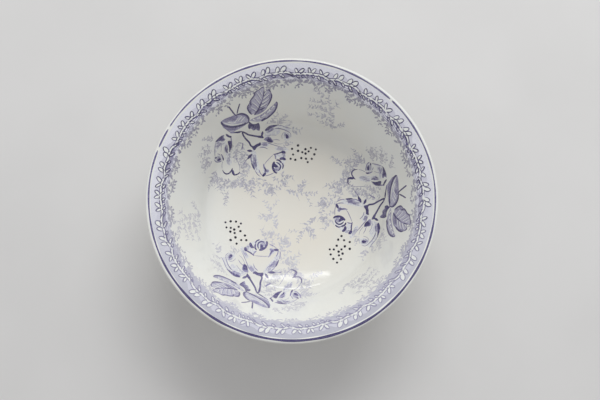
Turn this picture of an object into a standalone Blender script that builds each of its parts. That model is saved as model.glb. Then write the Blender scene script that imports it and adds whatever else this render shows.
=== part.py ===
"""A porcelain serving bowl: a dished floor, a steep wall and a narrow flange with a rolled lip.

The fired clay is one bowl with a foot ring luted under it. Two coats of glaze cover it: one runs over the
inside, the lip and the outside down to the foot, and one lies under the floor, inside the foot ring.
The ring's standing edge is left bare.

Every piece is turned about Z. The section is worked out as a path of points on the glazed face, each with
the face's outward normal, and the clay and the coats are that path moved inwards by a distance.
Metres, +Z up. The origin is on the axis, at the plane that the foot ring stands on.
"""

from math import asin, cos, pi, radians, sin

import bpy

# Driving dimensions
RIM_RADIUS = 0.120  # the lip's outermost circle
FLOOR_HEIGHT = 0.0105  # the glazed floor's middle, above the table
DISH_RADIUS = 0.350  # the sphere that the floor is part of
DISH_EDGE = 0.070  # where the dish ends and the heel turns up
HEEL_RADIUS = 0.015
WALL_SLOPE = radians(64)
SHOULDER_RADIUS = 0.010  # where the wall turns out into the flange
WALL_TOP_RADIUS = 0.1017
FLANGE_SLOPE = radians(24)

FLOOR_THICKNESS = 0.0062
WALL_THICKNESS = 0.0050
LIP_THICKNESS = 0.0034
LIP_BEGINS = RIM_RADIUS - LIP_THICKNESS / 2 * (1 + sin(FLANGE_SLOPE))

FOOT_OUTER_RADIUS = 0.0615  # where the ring meets the bowl
FOOT_INNER_RADIUS = 0.0555
FOOT_HEIGHT = 0.0104
FOOT_TAPER = 0.0010  # how far each side of the ring leans in over its height
FOOT_EDGE_ROUND = 0.0007
FOOT_FILLET = 0.0025  # the glaze's round corner between the ring and the bowl
BARE_HEIGHT = 0.0016  # the glaze ends this far above the table

GLAZE_THICKNESS = 0.0004
SEAM = 0.0003  # clearance between one solid and the next
CLAY_INSET = GLAZE_THICKNESS + SEAM

SEGMENTS = 60  # round the axis; a multiple of 4, so that the widths in X and Y are the diameter
CLAY_COLOUR = (0.80, 0.74, 0.64, 1.0)
GLAZE_COLOUR = (0.84, 0.83, 0.77, 1.0)


def arc(start, slopes, radius, steps):
    """(r, z, slope) along an arc from start, which is left out. A positive radius turns the path upwards."""
    r, z = start
    first, last = slopes
    points = []
    for step in range(1, steps + 1):
        slope = first + (last - first) * step / steps
        points.append(
            (
                r + radius * (sin(slope) - sin(first)),
                z + radius * (cos(first) - cos(slope)),
                slope,
            )
        )
    return points


def line_to_radius(start, slope, radius):
    """The (r, z, slope) where a straight stretch from start reaches that radius."""
    r, z = start
    return (radius, z + (radius - r) * sin(slope) / cos(slope), slope)


def inner_face():
    """(r, z, slope) from the middle of the floor to where the lip begins."""
    dish_slope = asin(DISH_EDGE / DISH_RADIUS)
    face = [(0.0, FLOOR_HEIGHT, 0.0)]
    face += arc(face[-1][:2], (0.0, dish_slope), DISH_RADIUS, 5)
    face += arc(face[-1][:2], (dish_slope, WALL_SLOPE), HEEL_RADIUS, 5)
    face.append(line_to_radius(face[-1][:2], WALL_SLOPE, WALL_TOP_RADIUS))
    face += arc(face[-1][:2], (WALL_SLOPE, FLANGE_SLOPE), -SHOULDER_RADIUS, 4)
    face.append(line_to_radius(face[-1][:2], FLANGE_SLOPE, LIP_BEGINS))
    return face


def thickness(radius):
    """The ware's thickness, glaze included. It tapers from the floor to the wall's top, then to the lip."""
    if radius < WALL_TOP_RADIUS:
        share = radius / WALL_TOP_RADIUS
        return FLOOR_THICKNESS + (WALL_THICKNESS - FLOOR_THICKNESS) * share
    share = (radius - WALL_TOP_RADIUS) / (LIP_BEGINS - WALL_TOP_RADIUS)
    return WALL_THICKNESS + (LIP_THICKNESS - WALL_THICKNESS) * share


def inner_path():
    """(r, z, normal r, normal z) on the glazed inner face, from the axis out."""
    return [(r, z, -sin(slope), cos(slope)) for r, z, slope in inner_face()]


def lip_path(steps=6):
    """The rolled lip: half a circle from the inner face's end to the outer face's start."""
    r, z, slope = inner_face()[-1]
    half = LIP_THICKNESS / 2
    middle = (r + half * sin(slope), z - half * cos(slope))
    path = []
    for step in range(1, steps):
        turn = slope + pi / 2 - pi * step / steps
        path.append((middle[0] + half * cos(turn), middle[1] + half * sin(turn), cos(turn), sin(turn)))
    return path


def outer_path():
    """The glazed outer face, from the lip down and in to the axis."""
    path = []
    for r, z, slope in reversed(inner_face()):
        through = thickness(r)
        path.append((r + through * sin(slope), z - through * cos(slope), sin(slope), -cos(slope)))
    return path


def underside_height(radius, inset):
    """The outer face's height at a radius under the dished floor, moved into the ware by inset."""
    sphere = DISH_RADIUS + thickness(radius) - inset
    return FLOOR_HEIGHT + DISH_RADIUS - sphere * cos(asin(radius / sphere))


def foot_radius(side, height):
    """The radius of the foot ring's outer side, for a side of 1, or of its inner side, for -1."""
    top = FOOT_OUTER_RADIUS if side == 1 else FOOT_INNER_RADIUS
    return top - side * FOOT_TAPER * (1 - height / FOOT_HEIGHT)


def glazed_foot(side, steps=4):
    """A side of the foot ring under glaze: a round corner out of the underside, then down to the bare edge."""
    corner = foot_radius(side, FOOT_HEIGHT - CLAY_INSET - FOOT_FILLET) + side * CLAY_INSET
    middle_r = corner + side * FOOT_FILLET
    middle_z = underside_height(middle_r, -FOOT_FILLET)
    first = side * asin(middle_r / (DISH_RADIUS + FLOOR_THICKNESS + FOOT_FILLET))
    path = []
    for step in range(steps + 1):
        turn = first + (pi / 2 - first) * step / steps
        normal_r, normal_z = side * sin(turn), -cos(turn)
        path.append(
            (
                middle_r - FOOT_FILLET * normal_r,
                middle_z - FOOT_FILLET * normal_z,
                normal_r,
                normal_z,
            )
        )
    path.append((foot_radius(side, BARE_HEIGHT) + side * CLAY_INSET, BARE_HEIGHT, side, 0.0))
    return path


def moved_in(path, distance):
    return [(r - normal_r * distance, z - normal_z * distance) for r, z, normal_r, normal_z in path]


def coat(path):
    """The outline of a glaze coat: along the glazed face, and back along the coat's hidden face."""
    return moved_in(path, 0.0) + moved_in(path, GLAZE_THICKNESS)[::-1]


def body_outline():
    return moved_in(inner_path() + lip_path() + outer_path(), CLAY_INSET)


def glaze_coat_outline():
    foot = glazed_foot(1)
    outside = [point for point in outer_path() if point[0] > foot[0][0]]
    return coat(inner_path() + lip_path() + outside + foot)


def base_glaze_outline():
    """Reversed, so that it runs down the side nearest the ring before it comes back under the floor."""
    foot = glazed_foot(-1)
    under = [point for point in reversed(outer_path()) if point[0] < foot[0][0]]
    return coat(under + foot)[::-1]


def foot_ring_outline():
    """From the top outer corner, down the outside and round. The top follows the clay above it."""
    edge = FOOT_EDGE_ROUND
    cut = edge * (1 - cos(pi / 4))  # how far a quarter round's middle lies in from each side
    outside, inside = foot_radius(1, edge), foot_radius(-1, edge)
    return [
        (FOOT_OUTER_RADIUS, underside_height(FOOT_OUTER_RADIUS, CLAY_INSET) - SEAM),
        (outside, edge),
        (outside - cut, cut),
        (outside - edge, 0.0),
        (inside + edge, 0.0),
        (inside + cut, cut),
        (inside, edge),
        (FOOT_INNER_RADIUS, underside_height(FOOT_INNER_RADIUS, CLAY_INSET) - SEAM),
    ]


def ceramic(name, colour, roughness):
    material = bpy.data.materials.new(name)
    material.use_nodes = True
    shader = material.node_tree.nodes["Principled BSDF"]
    shader.inputs["Base Color"].default_value = colour
    shader.inputs["Roughness"].default_value = roughness
    shader.inputs["Metallic"].default_value = 0.0
    return material


def turned(name, outline, closed, material, collection):
    """A solid turned from an outline of (r, z). An outline that isn't closed begins and ends on the axis."""
    count = len(outline)
    edges = [(i, i + 1) for i in range(count - 1)]
    if closed:
        edges.append((count - 1, 0))
    mesh = bpy.data.meshes.new(name)
    mesh.from_pydata([(r, 0.0, z) for r, z in outline], edges, [])
    mesh.materials.append(material)
    obj = bpy.data.objects.new(name, mesh)
    collection.objects.link(obj)
    screw = obj.modifiers.new("turn", "SCREW")
    screw.axis = "Z"
    screw.angle = 2 * pi
    screw.steps = screw.render_steps = SEGMENTS
    screw.use_merge_vertices = True
    screw.merge_threshold = 0.00001
    screw.use_smooth_shade = True
    return obj


def main():
    for obj in list(bpy.data.objects):
        bpy.data.objects.remove(obj)
    bowl = bpy.data.collections.new("serving_bowl")
    bpy.context.scene.collection.children.link(bowl)
    clay = ceramic("fired_clay", CLAY_COLOUR, 0.75)
    glaze = ceramic("glaze", GLAZE_COLOUR, 0.08)
    turned("bowl_body", body_outline(), False, clay, bowl)
    turned("foot_ring", foot_ring_outline(), True, clay, bowl)
    turned("glaze_coat", glaze_coat_outline(), False, glaze, bowl)
    turned("base_glaze", base_glaze_outline(), False, glaze, bowl)


main()
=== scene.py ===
"""The looks of a porcelain serving bowl with a printed decoration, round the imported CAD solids.

The decoration is printed in one colour: a border of leaves on the flange, a line on the lip, and the same
spray of roses three times round the inside. Here each print is a set of thin sheets on the inner face. They
are drawn on a chart, which is the inner face unrolled: a point's distance from the chart's middle is its
distance from the floor's middle, measured along the face.
Chart sizes are in millimetres, and everything else is in metres.
"""

import math
import random

import bpy
import numpy as np
from mathutils import Matrix, Vector
from mathutils.geometry import delaunay_2d_cdt


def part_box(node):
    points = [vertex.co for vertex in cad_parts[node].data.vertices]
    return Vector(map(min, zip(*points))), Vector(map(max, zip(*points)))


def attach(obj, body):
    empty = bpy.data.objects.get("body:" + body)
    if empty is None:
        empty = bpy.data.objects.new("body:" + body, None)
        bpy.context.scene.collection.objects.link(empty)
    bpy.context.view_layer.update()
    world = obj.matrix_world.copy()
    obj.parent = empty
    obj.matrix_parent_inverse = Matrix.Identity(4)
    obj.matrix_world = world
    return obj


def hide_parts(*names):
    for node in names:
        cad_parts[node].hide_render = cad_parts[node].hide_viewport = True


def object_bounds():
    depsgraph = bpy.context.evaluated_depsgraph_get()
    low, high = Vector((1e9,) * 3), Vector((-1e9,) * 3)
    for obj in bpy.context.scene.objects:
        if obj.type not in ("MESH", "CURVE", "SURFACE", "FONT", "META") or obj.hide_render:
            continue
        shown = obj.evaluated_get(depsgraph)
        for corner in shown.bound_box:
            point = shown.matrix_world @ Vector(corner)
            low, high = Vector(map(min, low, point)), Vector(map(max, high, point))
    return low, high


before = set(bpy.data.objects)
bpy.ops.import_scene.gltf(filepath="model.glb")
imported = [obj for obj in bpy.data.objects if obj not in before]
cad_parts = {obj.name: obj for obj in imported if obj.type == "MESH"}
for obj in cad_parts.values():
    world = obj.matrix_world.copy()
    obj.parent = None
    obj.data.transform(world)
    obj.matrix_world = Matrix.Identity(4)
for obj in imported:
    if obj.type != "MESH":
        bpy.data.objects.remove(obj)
cad_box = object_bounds()

MM = 0.001

# The bowl's section, as the CAD has it. The looks lie this far inside the CAD's glazed faces.
SKIN = 0.00008
RIM_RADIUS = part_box("glaze_coat")[1].x
FLOOR_HEIGHT = 0.0105
DISH_RADIUS = 0.350
DISH_SLOPE = math.asin(0.070 / DISH_RADIUS)
HEEL_RADIUS = 0.015
WALL_SLOPE = math.radians(64)
WALL_TOP_RADIUS = 0.1017
SHOULDER_RADIUS = 0.010
FLANGE_SLOPE = math.radians(24)
FLOOR_THICKNESS = 0.0062
WALL_THICKNESS = 0.0050
LIP_THICKNESS = 0.0034
LIP_BEGINS = RIM_RADIUS - LIP_THICKNESS / 2 * (1 + math.sin(FLANGE_SLOPE))
FOOT_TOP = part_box("foot_ring")[1].z
FOOT_OUTER_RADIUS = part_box("foot_ring")[1].x
FOOT_WIDTH = 0.0060
FOOT_TAPER = 0.0010
FOOT_EDGE_ROUND = 0.0007
FOOT_FILLET = 0.0025
BARE_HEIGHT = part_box("glaze_coat")[0].z
GLAZE_THICKNESS = 0.0004
CLAY_INSET = 0.0007
FOOT_SEAM = 0.0003
SEGMENTS = 288


# ---------------------------------------------------------------- the bowl's section


def arc(start, slopes, radius, steps):
    """(r, z, slope) along an arc from start, which is left out. A positive radius turns it upwards."""
    r, z = start[:2]
    first, last = slopes
    points = []
    for step in range(1, steps + 1):
        slope = first + (last - first) * step / steps
        points.append(
            (
                r + radius * (math.sin(slope) - math.sin(first)),
                z + radius * (math.cos(first) - math.cos(slope)),
                slope,
            )
        )
    return points


def straight(start, slope, radius, steps):
    """(r, z, slope) along a straight stretch from start to that radius."""
    r, z = start[:2]
    rise = math.tan(slope)
    points = []
    for step in range(1, steps + 1):
        here = r + (radius - r) * step / steps
        points.append((here, z + (here - r) * rise, slope))
    return points


def inner_face():
    """(r, z, slope) from the middle of the floor to where the lip begins."""
    face = [(0.0, FLOOR_HEIGHT, 0.0)]
    face += arc(face[-1], (0.0, DISH_SLOPE), DISH_RADIUS, 28)
    face += arc(face[-1], (DISH_SLOPE, WALL_SLOPE), HEEL_RADIUS, 14)
    face += straight(face[-1], WALL_SLOPE, WALL_TOP_RADIUS, 12)
    face += arc(face[-1], (WALL_SLOPE, FLANGE_SLOPE), -SHOULDER_RADIUS, 10)
    face += straight(face[-1], FLANGE_SLOPE, LIP_BEGINS, 6)
    return face


def thickness(radius):
    """The ware's thickness, glaze included."""
    if radius < WALL_TOP_RADIUS:
        return FLOOR_THICKNESS + (WALL_THICKNESS - FLOOR_THICKNESS) * radius / WALL_TOP_RADIUS
    share = (radius - WALL_TOP_RADIUS) / (LIP_BEGINS - WALL_TOP_RADIUS)
    return WALL_THICKNESS + (LIP_THICKNESS - WALL_THICKNESS) * share


INNER = inner_face()


def lip_path():
    """The rolled lip, as (r, z, normal r, normal z)."""
    steps = 14
    r, z, slope = INNER[-1]
    half = LIP_THICKNESS / 2
    middle_r, middle_z = r + half * math.sin(slope), z - half * math.cos(slope)
    path = []
    for step in range(1, steps):
        turn = slope + math.pi / 2 - math.pi * step / steps
        out, up = math.cos(turn), math.sin(turn)
        path.append((middle_r + half * out, middle_z + half * up, out, up))
    return path


def inner_path():
    return [(r, z, -math.sin(slope), math.cos(slope)) for r, z, slope in INNER]


def outer_path():
    path = []
    for r, z, slope in reversed(INNER):
        through = thickness(r)
        out, up = math.sin(slope), -math.cos(slope)
        path.append((r + through * out, z + through * up, out, up))
    return path


def underside_height(radius, inset):
    sphere = DISH_RADIUS + thickness(radius) - inset
    return FLOOR_HEIGHT + DISH_RADIUS - sphere * math.cos(math.asin(radius / sphere))


def foot_radius(side, height):
    """The clay foot ring's outer side (side 1) or inner side (side -1)."""
    top = FOOT_OUTER_RADIUS if side == 1 else FOOT_OUTER_RADIUS - FOOT_WIDTH
    return top - side * FOOT_TAPER * (1 - height / FOOT_TOP)


def glazed_foot(side):
    """The glaze from the underside, round the corner and down the foot's side to the bare edge."""
    steps = 10
    corner = foot_radius(side, FOOT_TOP - CLAY_INSET - FOOT_FILLET) + side * CLAY_INSET
    middle_r = corner + side * FOOT_FILLET
    middle_z = underside_height(middle_r, -FOOT_FILLET)
    first = side * math.asin(middle_r / (DISH_RADIUS + FLOOR_THICKNESS + FOOT_FILLET))
    path = []
    for step in range(steps + 1):
        turn = first + (math.pi / 2 - first) * step / steps
        out, up = side * math.sin(turn), -math.cos(turn)
        path.append((middle_r - FOOT_FILLET * out, middle_z - FOOT_FILLET * up, out, up))
    bare = foot_radius(side, BARE_HEIGHT) + side * CLAY_INSET
    bead = GLAZE_THICKNESS / 2
    path.append((bare, BARE_HEIGHT + bead, side, 0.0))
    path.append((bare - side * bead * 0.6, BARE_HEIGHT, side * 0.6, -0.8))
    return path


def moved_in(path, distance):
    return [(r - out * distance, z - up * distance) for r, z, out, up in path]


def linked(name, data):
    """A new object with that data, in the scene."""
    obj = bpy.data.objects.new(name, data)
    bpy.context.scene.collection.objects.link(obj)
    return obj


def turned(name, outline, closed=False):
    """A mesh turned from an outline of (r, z). Points on the axis become one vertex."""
    verts, rings = [], []
    for r, z in outline:
        if r < 1e-7:
            rings.append([len(verts)])
            verts.append((0.0, 0.0, z))
            continue
        rings.append(list(range(len(verts), len(verts) + SEGMENTS)))
        for i in range(SEGMENTS):
            turn = 2 * math.pi * i / SEGMENTS
            verts.append((r * math.cos(turn), r * math.sin(turn), z))
    faces = []
    pairs = list(zip(rings, rings[1:]))
    if closed:
        pairs.append((rings[-1], rings[0]))
    for upper, lower in pairs:
        for i in range(SEGMENTS):
            j = (i + 1) % SEGMENTS
            if len(upper) == 1 and len(lower) == 1:
                continue
            if len(upper) == 1:
                faces.append((upper[0], lower[i], lower[j]))
            elif len(lower) == 1:
                faces.append((upper[j], upper[i], lower[0]))
            else:
                faces.append((upper[i], lower[i], lower[j], upper[j]))
    mesh = bpy.data.meshes.new(name)
    mesh.from_pydata(verts, [], faces)
    mesh.shade_smooth()
    return linked(name, mesh)


def keep(obj, slot, material, *nodes):
    """Gives a piece its material, hangs it on the root body, and hides the CAD parts it stands for."""
    obj.data.materials.append(material)
    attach(obj, "root")
    if nodes:
        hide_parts(*nodes)
    return obj


# ---------------------------------------------------------------- materials


class Nodes:
    """A material whose nodes are added one by one. Colours are linear."""

    def __init__(self, name):
        self.material = bpy.data.materials.new(name)
        self.material.use_nodes = True
        self.tree = self.material.node_tree
        self.shader = self.tree.nodes["Principled BSDF"]
        self.place = self.tree.nodes.new("ShaderNodeTexCoord").outputs["Object"]

    def join(self, source, socket):
        if isinstance(source, bpy.types.NodeSocket):
            self.tree.links.new(source, socket)
        else:
            socket.default_value = source

    def add(self, kind, inputs, **settings):
        """A new node, with a socket or a plain value for each input that is named."""
        node = self.tree.nodes.new("ShaderNode" + kind)
        for name, value in settings.items():
            setattr(node, name, value)
        for name, source in inputs.items():
            self.join(source, node.inputs[name])
        return node.outputs

    def noise(self, scale, detail=2.0, roughness=0.5):
        inputs = {"Vector": self.place, "Scale": scale, "Detail": detail, "Roughness": roughness}
        return self.add("TexNoise", inputs)["Fac"]

    def voronoi(self, scale):
        return self.add("TexVoronoi", {"Vector": self.place, "Scale": scale})["Distance"]

    def ramp(self, value, low, high, out_low=0.0, out_high=1.0):
        """value mapped from low..high to out_low..out_high, smoothly and clamped."""
        inputs = {"Value": value, "From Min": low, "From Max": high, "To Min": out_low, "To Max": out_high}
        return self.add("MapRange", inputs, interpolation_type="SMOOTHSTEP")["Result"]

    def near_side_painted_light(self, most):
        """Painted light for the glare and dark reflections at the near rim: 0 over the bowl's far half,
        rising to most at the near rim.
        """
        split = self.add("SeparateXYZ", {0: self.place})
        return self.ramp(split["Y"], PAINTED_LIGHT_RIM, PAINTED_LIGHT_BEGINS, most, 0.0)

    def multiply(self, a, b):
        return self.add("Math", {0: a, 1: b}, operation="MULTIPLY")[0]

    def mix(self, share, a, b, blend="MIX"):
        settings = {"data_type": "RGBA", "blend_type": blend}
        return self.add("Mix", {"Factor": share, "A": a, "B": b}, **settings)["Result"]

    def bump(self, height, distance, strength, under=None):
        inputs = {"Strength": strength, "Distance": distance, "Height": height}
        if under is not None:
            inputs["Normal"] = under
        return self.add("Bump", inputs)["Normal"]

    def finish(self, colour, roughness, normal=None):
        self.join(colour, self.shader.inputs["Base Color"])
        self.join(roughness, self.shader.inputs["Roughness"])
        if normal is not None:
            self.join(normal, self.shader.inputs["Normal"])
        return self.material


# Painted light: towards the near rim some inks turn paler, for the glare there, and the border's outer wash
# and the lip line turn darker, for the dark reflections there. This happens between these two places on Y,
# by this share of the other colour.
PAINTED_LIGHT_BEGINS = 0.035
PAINTED_LIGHT_RIM = -0.105
PAINTED_LIGHT_SHARE = 0.75

# This colour multiplies the glaze's colour over the floor, making it darker and warmer towards the floor's
# middle.
FLOOR_DARK_WARM = (0.960, 0.918, 0.868, 1.0)
IRON_SPECK = (0.30, 0.22, 0.14, 1.0)
CLAY_PALE = (0.74, 0.66, 0.53, 1.0)
CLAY_DEEP = (0.63, 0.53, 0.40, 1.0)
CLAY_GRAIN = (0.45, 0.37, 0.28, 1.0)
FOOT_GRIME = (0.22, 0.19, 0.16, 1.0)
FLOOR_GREY = (0.64, 0.63, 0.61, 1.0)
FLOOR_PALE = (0.67, 0.66, 0.64, 1.0)
CREAM = (0.790, 0.797, 0.757, 1.0)
CREAM_WARM = (0.785, 0.780, 0.722, 1.0)
CREAM_COOL = (0.770, 0.780, 0.740, 1.0)
WASH = (0.600, 0.595, 0.660, 1.0)
WASH_GREY = (0.390, 0.390, 0.450, 1.0)
FLANGE_PALE = (0.735, 0.735, 0.785, 1.0)
SHADE = (0.305, 0.293, 0.385, 1.0)
SLATE_DEEP = (0.290, 0.282, 0.360, 1.0)
SLATE = (0.400, 0.392, 0.455, 1.0)
SLATE_PALE = (0.570, 0.560, 0.600, 1.0)
LAVENDER = (0.490, 0.478, 0.585, 1.0)
LEAF_VIOLET = (0.385, 0.370, 0.490, 1.0)
VIOLET = (0.290, 0.272, 0.405, 1.0)
VIOLET_CLEAR = (0.250, 0.228, 0.430, 1.0)
TONE = (0.180, 0.163, 0.295, 1.0)
INDIGO = (0.090, 0.075, 0.200, 1.0)
INDIGO_DEEP = (0.035, 0.027, 0.100, 1.0)
LINE_BLACK = (0.040, 0.036, 0.075, 1.0)
BERRY = (0.020, 0.016, 0.028, 1.0)


def glaze_gloss(nodes):
    """The gloss that all glazed faces share: soft waves, fine pits, and rubbed patches."""
    nodes.shader.inputs["IOR"].default_value = 1.52
    nodes.shader.inputs["Coat Weight"].default_value = 0.35
    nodes.shader.inputs["Coat Roughness"].default_value = 0.04
    waves = nodes.bump(nodes.noise(60, 1.0), 0.0003, 0.16)
    pits = nodes.ramp(nodes.voronoi(900), 0.05, 0.16)
    normal = nodes.bump(pits, 0.00003, 0.35, waves)
    roughness = nodes.ramp(nodes.noise(60, 3.0, 0.6), 0.35, 0.75, 0.045, 0.11)
    return roughness, normal


def cream(nodes):
    """The glaze's cream: slow drifts of warmer and cooler tone, a warmer floor, and rare iron specks."""
    drift = nodes.ramp(nodes.noise(18, 3.0), 0.35, 0.70)
    colour = nodes.mix(drift, CREAM, CREAM_WARM)
    cool = nodes.ramp(nodes.noise(33, 2.0), 0.50, 0.75, 0.0, 0.6)
    colour = nodes.mix(cool, colour, CREAM_COOL)
    away = nodes.add("VectorMath", {0: nodes.place}, operation="LENGTH")["Value"]
    floor_share = nodes.ramp(away, 0.030, 0.100, 1.0, 0.0)
    colour = nodes.mix(floor_share, colour, FLOOR_DARK_WARM, "MULTIPLY")
    specks = nodes.ramp(nodes.voronoi(210), 0.030, 0.055, 0.30, 0.0)
    return nodes.mix(specks, colour, IRON_SPECK)


def glaze_material():
    nodes = Nodes("cream_glaze")
    roughness, normal = glaze_gloss(nodes)
    return nodes.finish(cream(nodes), roughness, normal)


def clay_material(name, worn):
    nodes = Nodes(name)
    grain = nodes.noise(900, 4.0, 0.7)
    blotch = nodes.ramp(nodes.noise(70, 3.0), 0.35, 0.70)
    colour = nodes.mix(blotch, CLAY_PALE, CLAY_DEEP)
    colour = nodes.mix(nodes.ramp(grain, 0.52, 0.75, 0.0, 0.5), colour, CLAY_GRAIN)
    if worn:
        grime = nodes.ramp(nodes.noise(260, 3.0, 0.6), 0.50, 0.70, 0.0, 0.55)
        colour = nodes.mix(grime, colour, FOOT_GRIME)
    roughness = nodes.ramp(grain, 0.3, 0.7, 0.68, 0.88)
    return nodes.finish(colour, roughness, nodes.bump(grain, 0.00012, 0.6))


def ink_material(name, deep, shallow, bare, mottle, near=None):
    """A print's ink: it pools and thins, and bare shows through. near is its colour at the near rim, as
    painted light.
    """
    nodes = Nodes(name)
    roughness, normal = glaze_gloss(nodes)
    pool = nodes.ramp(nodes.noise(700, 3.0, 0.6), 0.36, 0.64)
    colour = nodes.mix(pool, deep, shallow)
    thin = nodes.ramp(nodes.noise(260, 3.0, 0.6), 0.50, 0.74, 0.0, mottle)
    colour = nodes.mix(thin, colour, bare)
    # Painted light: towards the near rim the ink shifts to near, for the glare or dark reflections there.
    if near:
        colour = nodes.mix(nodes.near_side_painted_light(PAINTED_LIGHT_SHARE), colour, near)
    return nodes.finish(colour, roughness, normal)


def stipple_material(name, ground, dots, scale, near):
    """Small engraved dots on a tinted ground. near is their colour at the near rim, as painted light."""
    nodes = Nodes(name)
    roughness, normal = glaze_gloss(nodes)
    spots = nodes.ramp(nodes.voronoi(scale), 0.25, 0.50, 1.0, 0.0)
    drift = nodes.ramp(nodes.noise(120, 3.0, 0.6), 0.35, 0.65, 0.5, 1.0)
    colour = nodes.mix(nodes.multiply(spots, drift), ground, dots)
    # Painted light: towards the near rim the colour shifts to near, for the glare or dark reflections there.
    colour = nodes.mix(nodes.near_side_painted_light(PAINTED_LIGHT_SHARE), colour, near)
    return nodes.finish(colour, roughness, normal)


# ---------------------------------------------------------------- the ware


def make_ware():
    glaze = glaze_material()
    foot = glazed_foot(1)
    outside = [point for point in outer_path() if point[0] > foot[0][0]]
    full = inner_path() + lip_path() + outside + foot
    outline = moved_in(full, SKIN) + moved_in(full, GLAZE_THICKNESS)[::-1]
    keep(turned("glaze_coat_looks", outline), "glaze", glaze, "glaze_coat")
    foot = glazed_foot(-1)
    under = [point for point in reversed(outer_path()) if point[0] < foot[0][0]]
    full = under + foot
    outline = (moved_in(full, SKIN) + moved_in(full, GLAZE_THICKNESS)[::-1])[::-1]
    keep(turned("base_glaze_looks", outline), "under_glaze", glaze, "base_glaze")
    body = moved_in(inner_path() + lip_path() + outer_path(), CLAY_INSET)
    clay = clay_material("fired_clay", False)
    keep(turned("bowl_body_looks", body), "clay", clay, "bowl_body")
    make_foot_ring()


def make_foot_ring():
    edge = FOOT_EDGE_ROUND
    outside, inside = foot_radius(1, edge), foot_radius(-1, edge)
    outline = [(FOOT_OUTER_RADIUS, underside_height(FOOT_OUTER_RADIUS, CLAY_INSET) - FOOT_SEAM)]
    for step in range(6):
        turn = math.pi / 2 * step / 5
        outline.append((outside - edge * (1 - math.cos(turn)), edge * (1 - math.sin(turn))))
    for step in range(6):
        turn = math.pi / 2 * (1 - step / 5)
        outline.append((inside + edge * (1 - math.cos(turn)), edge * (1 - math.sin(turn))))
    inner_top = FOOT_OUTER_RADIUS - FOOT_WIDTH
    outline.append((inner_top, underside_height(inner_top, CLAY_INSET) - FOOT_SEAM))
    clay = clay_material("bare_foot_clay", True)
    keep(turned("foot_ring_looks", outline, closed=True), "foot_clay", clay, "foot_ring")


make_ware()


# ---------------------------------------------------------------- the chart and the prints on it

# The face runs on over the crest of the lip. A slope turns the way up (0, 1) into the face's normal.
LIP_FACE = [(r, z, math.atan2(up, out) - math.pi / 2) for r, z, out, up in lip_path()[:7]]
FACE_R, FACE_Z, FACE_SLOPE = np.array(INNER + LIP_FACE).T
FACE_ALONG = np.concatenate([[0.0], np.cumsum(np.hypot(np.diff(FACE_R), np.diff(FACE_Z)))])


def along(radius):
    """How far a circle of that radius (in mm) lies from the floor's middle, along the face, in mm."""
    return float(np.interp(radius * MM, FACE_R, FACE_ALONG)) / MM


def on_face(chart, lift):
    """Points and normals on the inner face for chart points, lifted off it by lift."""
    chart = np.asarray(chart, float) * MM
    far = np.hypot(chart[:, 0], chart[:, 1])
    turn = np.arctan2(chart[:, 1], chart[:, 0])
    slope = np.interp(far, FACE_ALONG, FACE_SLOPE)
    out, up = -np.sin(slope), np.cos(slope)
    r = np.interp(far, FACE_ALONG, FACE_R) + out * (lift - SKIN)
    z = np.interp(far, FACE_ALONG, FACE_Z) + up * (lift - SKIN)
    places = np.stack([r * np.cos(turn), r * np.sin(turn), z], axis=1)
    normals = np.stack([out * np.cos(turn), out * np.sin(turn), up], axis=1)
    return places, normals


def smooth(points, step=0.8, closed=False):
    """A curve through the points, with a point about every step. A point given twice is a corner."""
    points = np.asarray(points, float)
    count = len(points)
    line = []
    for i in range(count if closed else count - 1):
        if closed:
            p0, p1, p2, p3 = (points[(i + k) % count] for k in (-1, 0, 1, 2))
        else:
            p0, p1, p2, p3 = (points[min(max(i + k, 0), count - 1)] for k in (-1, 0, 1, 2))
        length = np.hypot(*(p2 - p1))
        if length < 1e-9:
            continue
        steps = max(1, int(math.ceil(length / step)))
        for t in np.arange(steps) / steps:
            line.append(
                p1
                + 0.5 * t * (p2 - p0)
                + t * t * (p0 - 2.5 * p1 + 2 * p2 - 0.5 * p3)
                + t * t * t * (1.5 * (p1 - p2) + 0.5 * (p3 - p0))
            )
    if not closed:
        line.append(points[-1])
    return np.array(line)


def turned_points(points, degrees, middle=(0.0, 0.0)):
    """The points turned anticlockwise about the middle."""
    turn = math.radians(degrees)
    c, s = math.cos(turn), math.sin(turn)
    away = np.asarray(points, float) - middle
    return away @ np.array([[c, s], [-s, c]]) + middle


def crossings(edge, y):
    """Where the level line at y crosses a closed outline."""
    follow = np.roll(edge, -1, axis=0)
    crossing = (edge[:, 1] > y) != (follow[:, 1] > y)
    a, b = edge[crossing], follow[crossing]
    return a[:, 0] + (y - a[:, 1]) / (b[:, 1] - a[:, 1]) * (b[:, 0] - a[:, 0])


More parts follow.
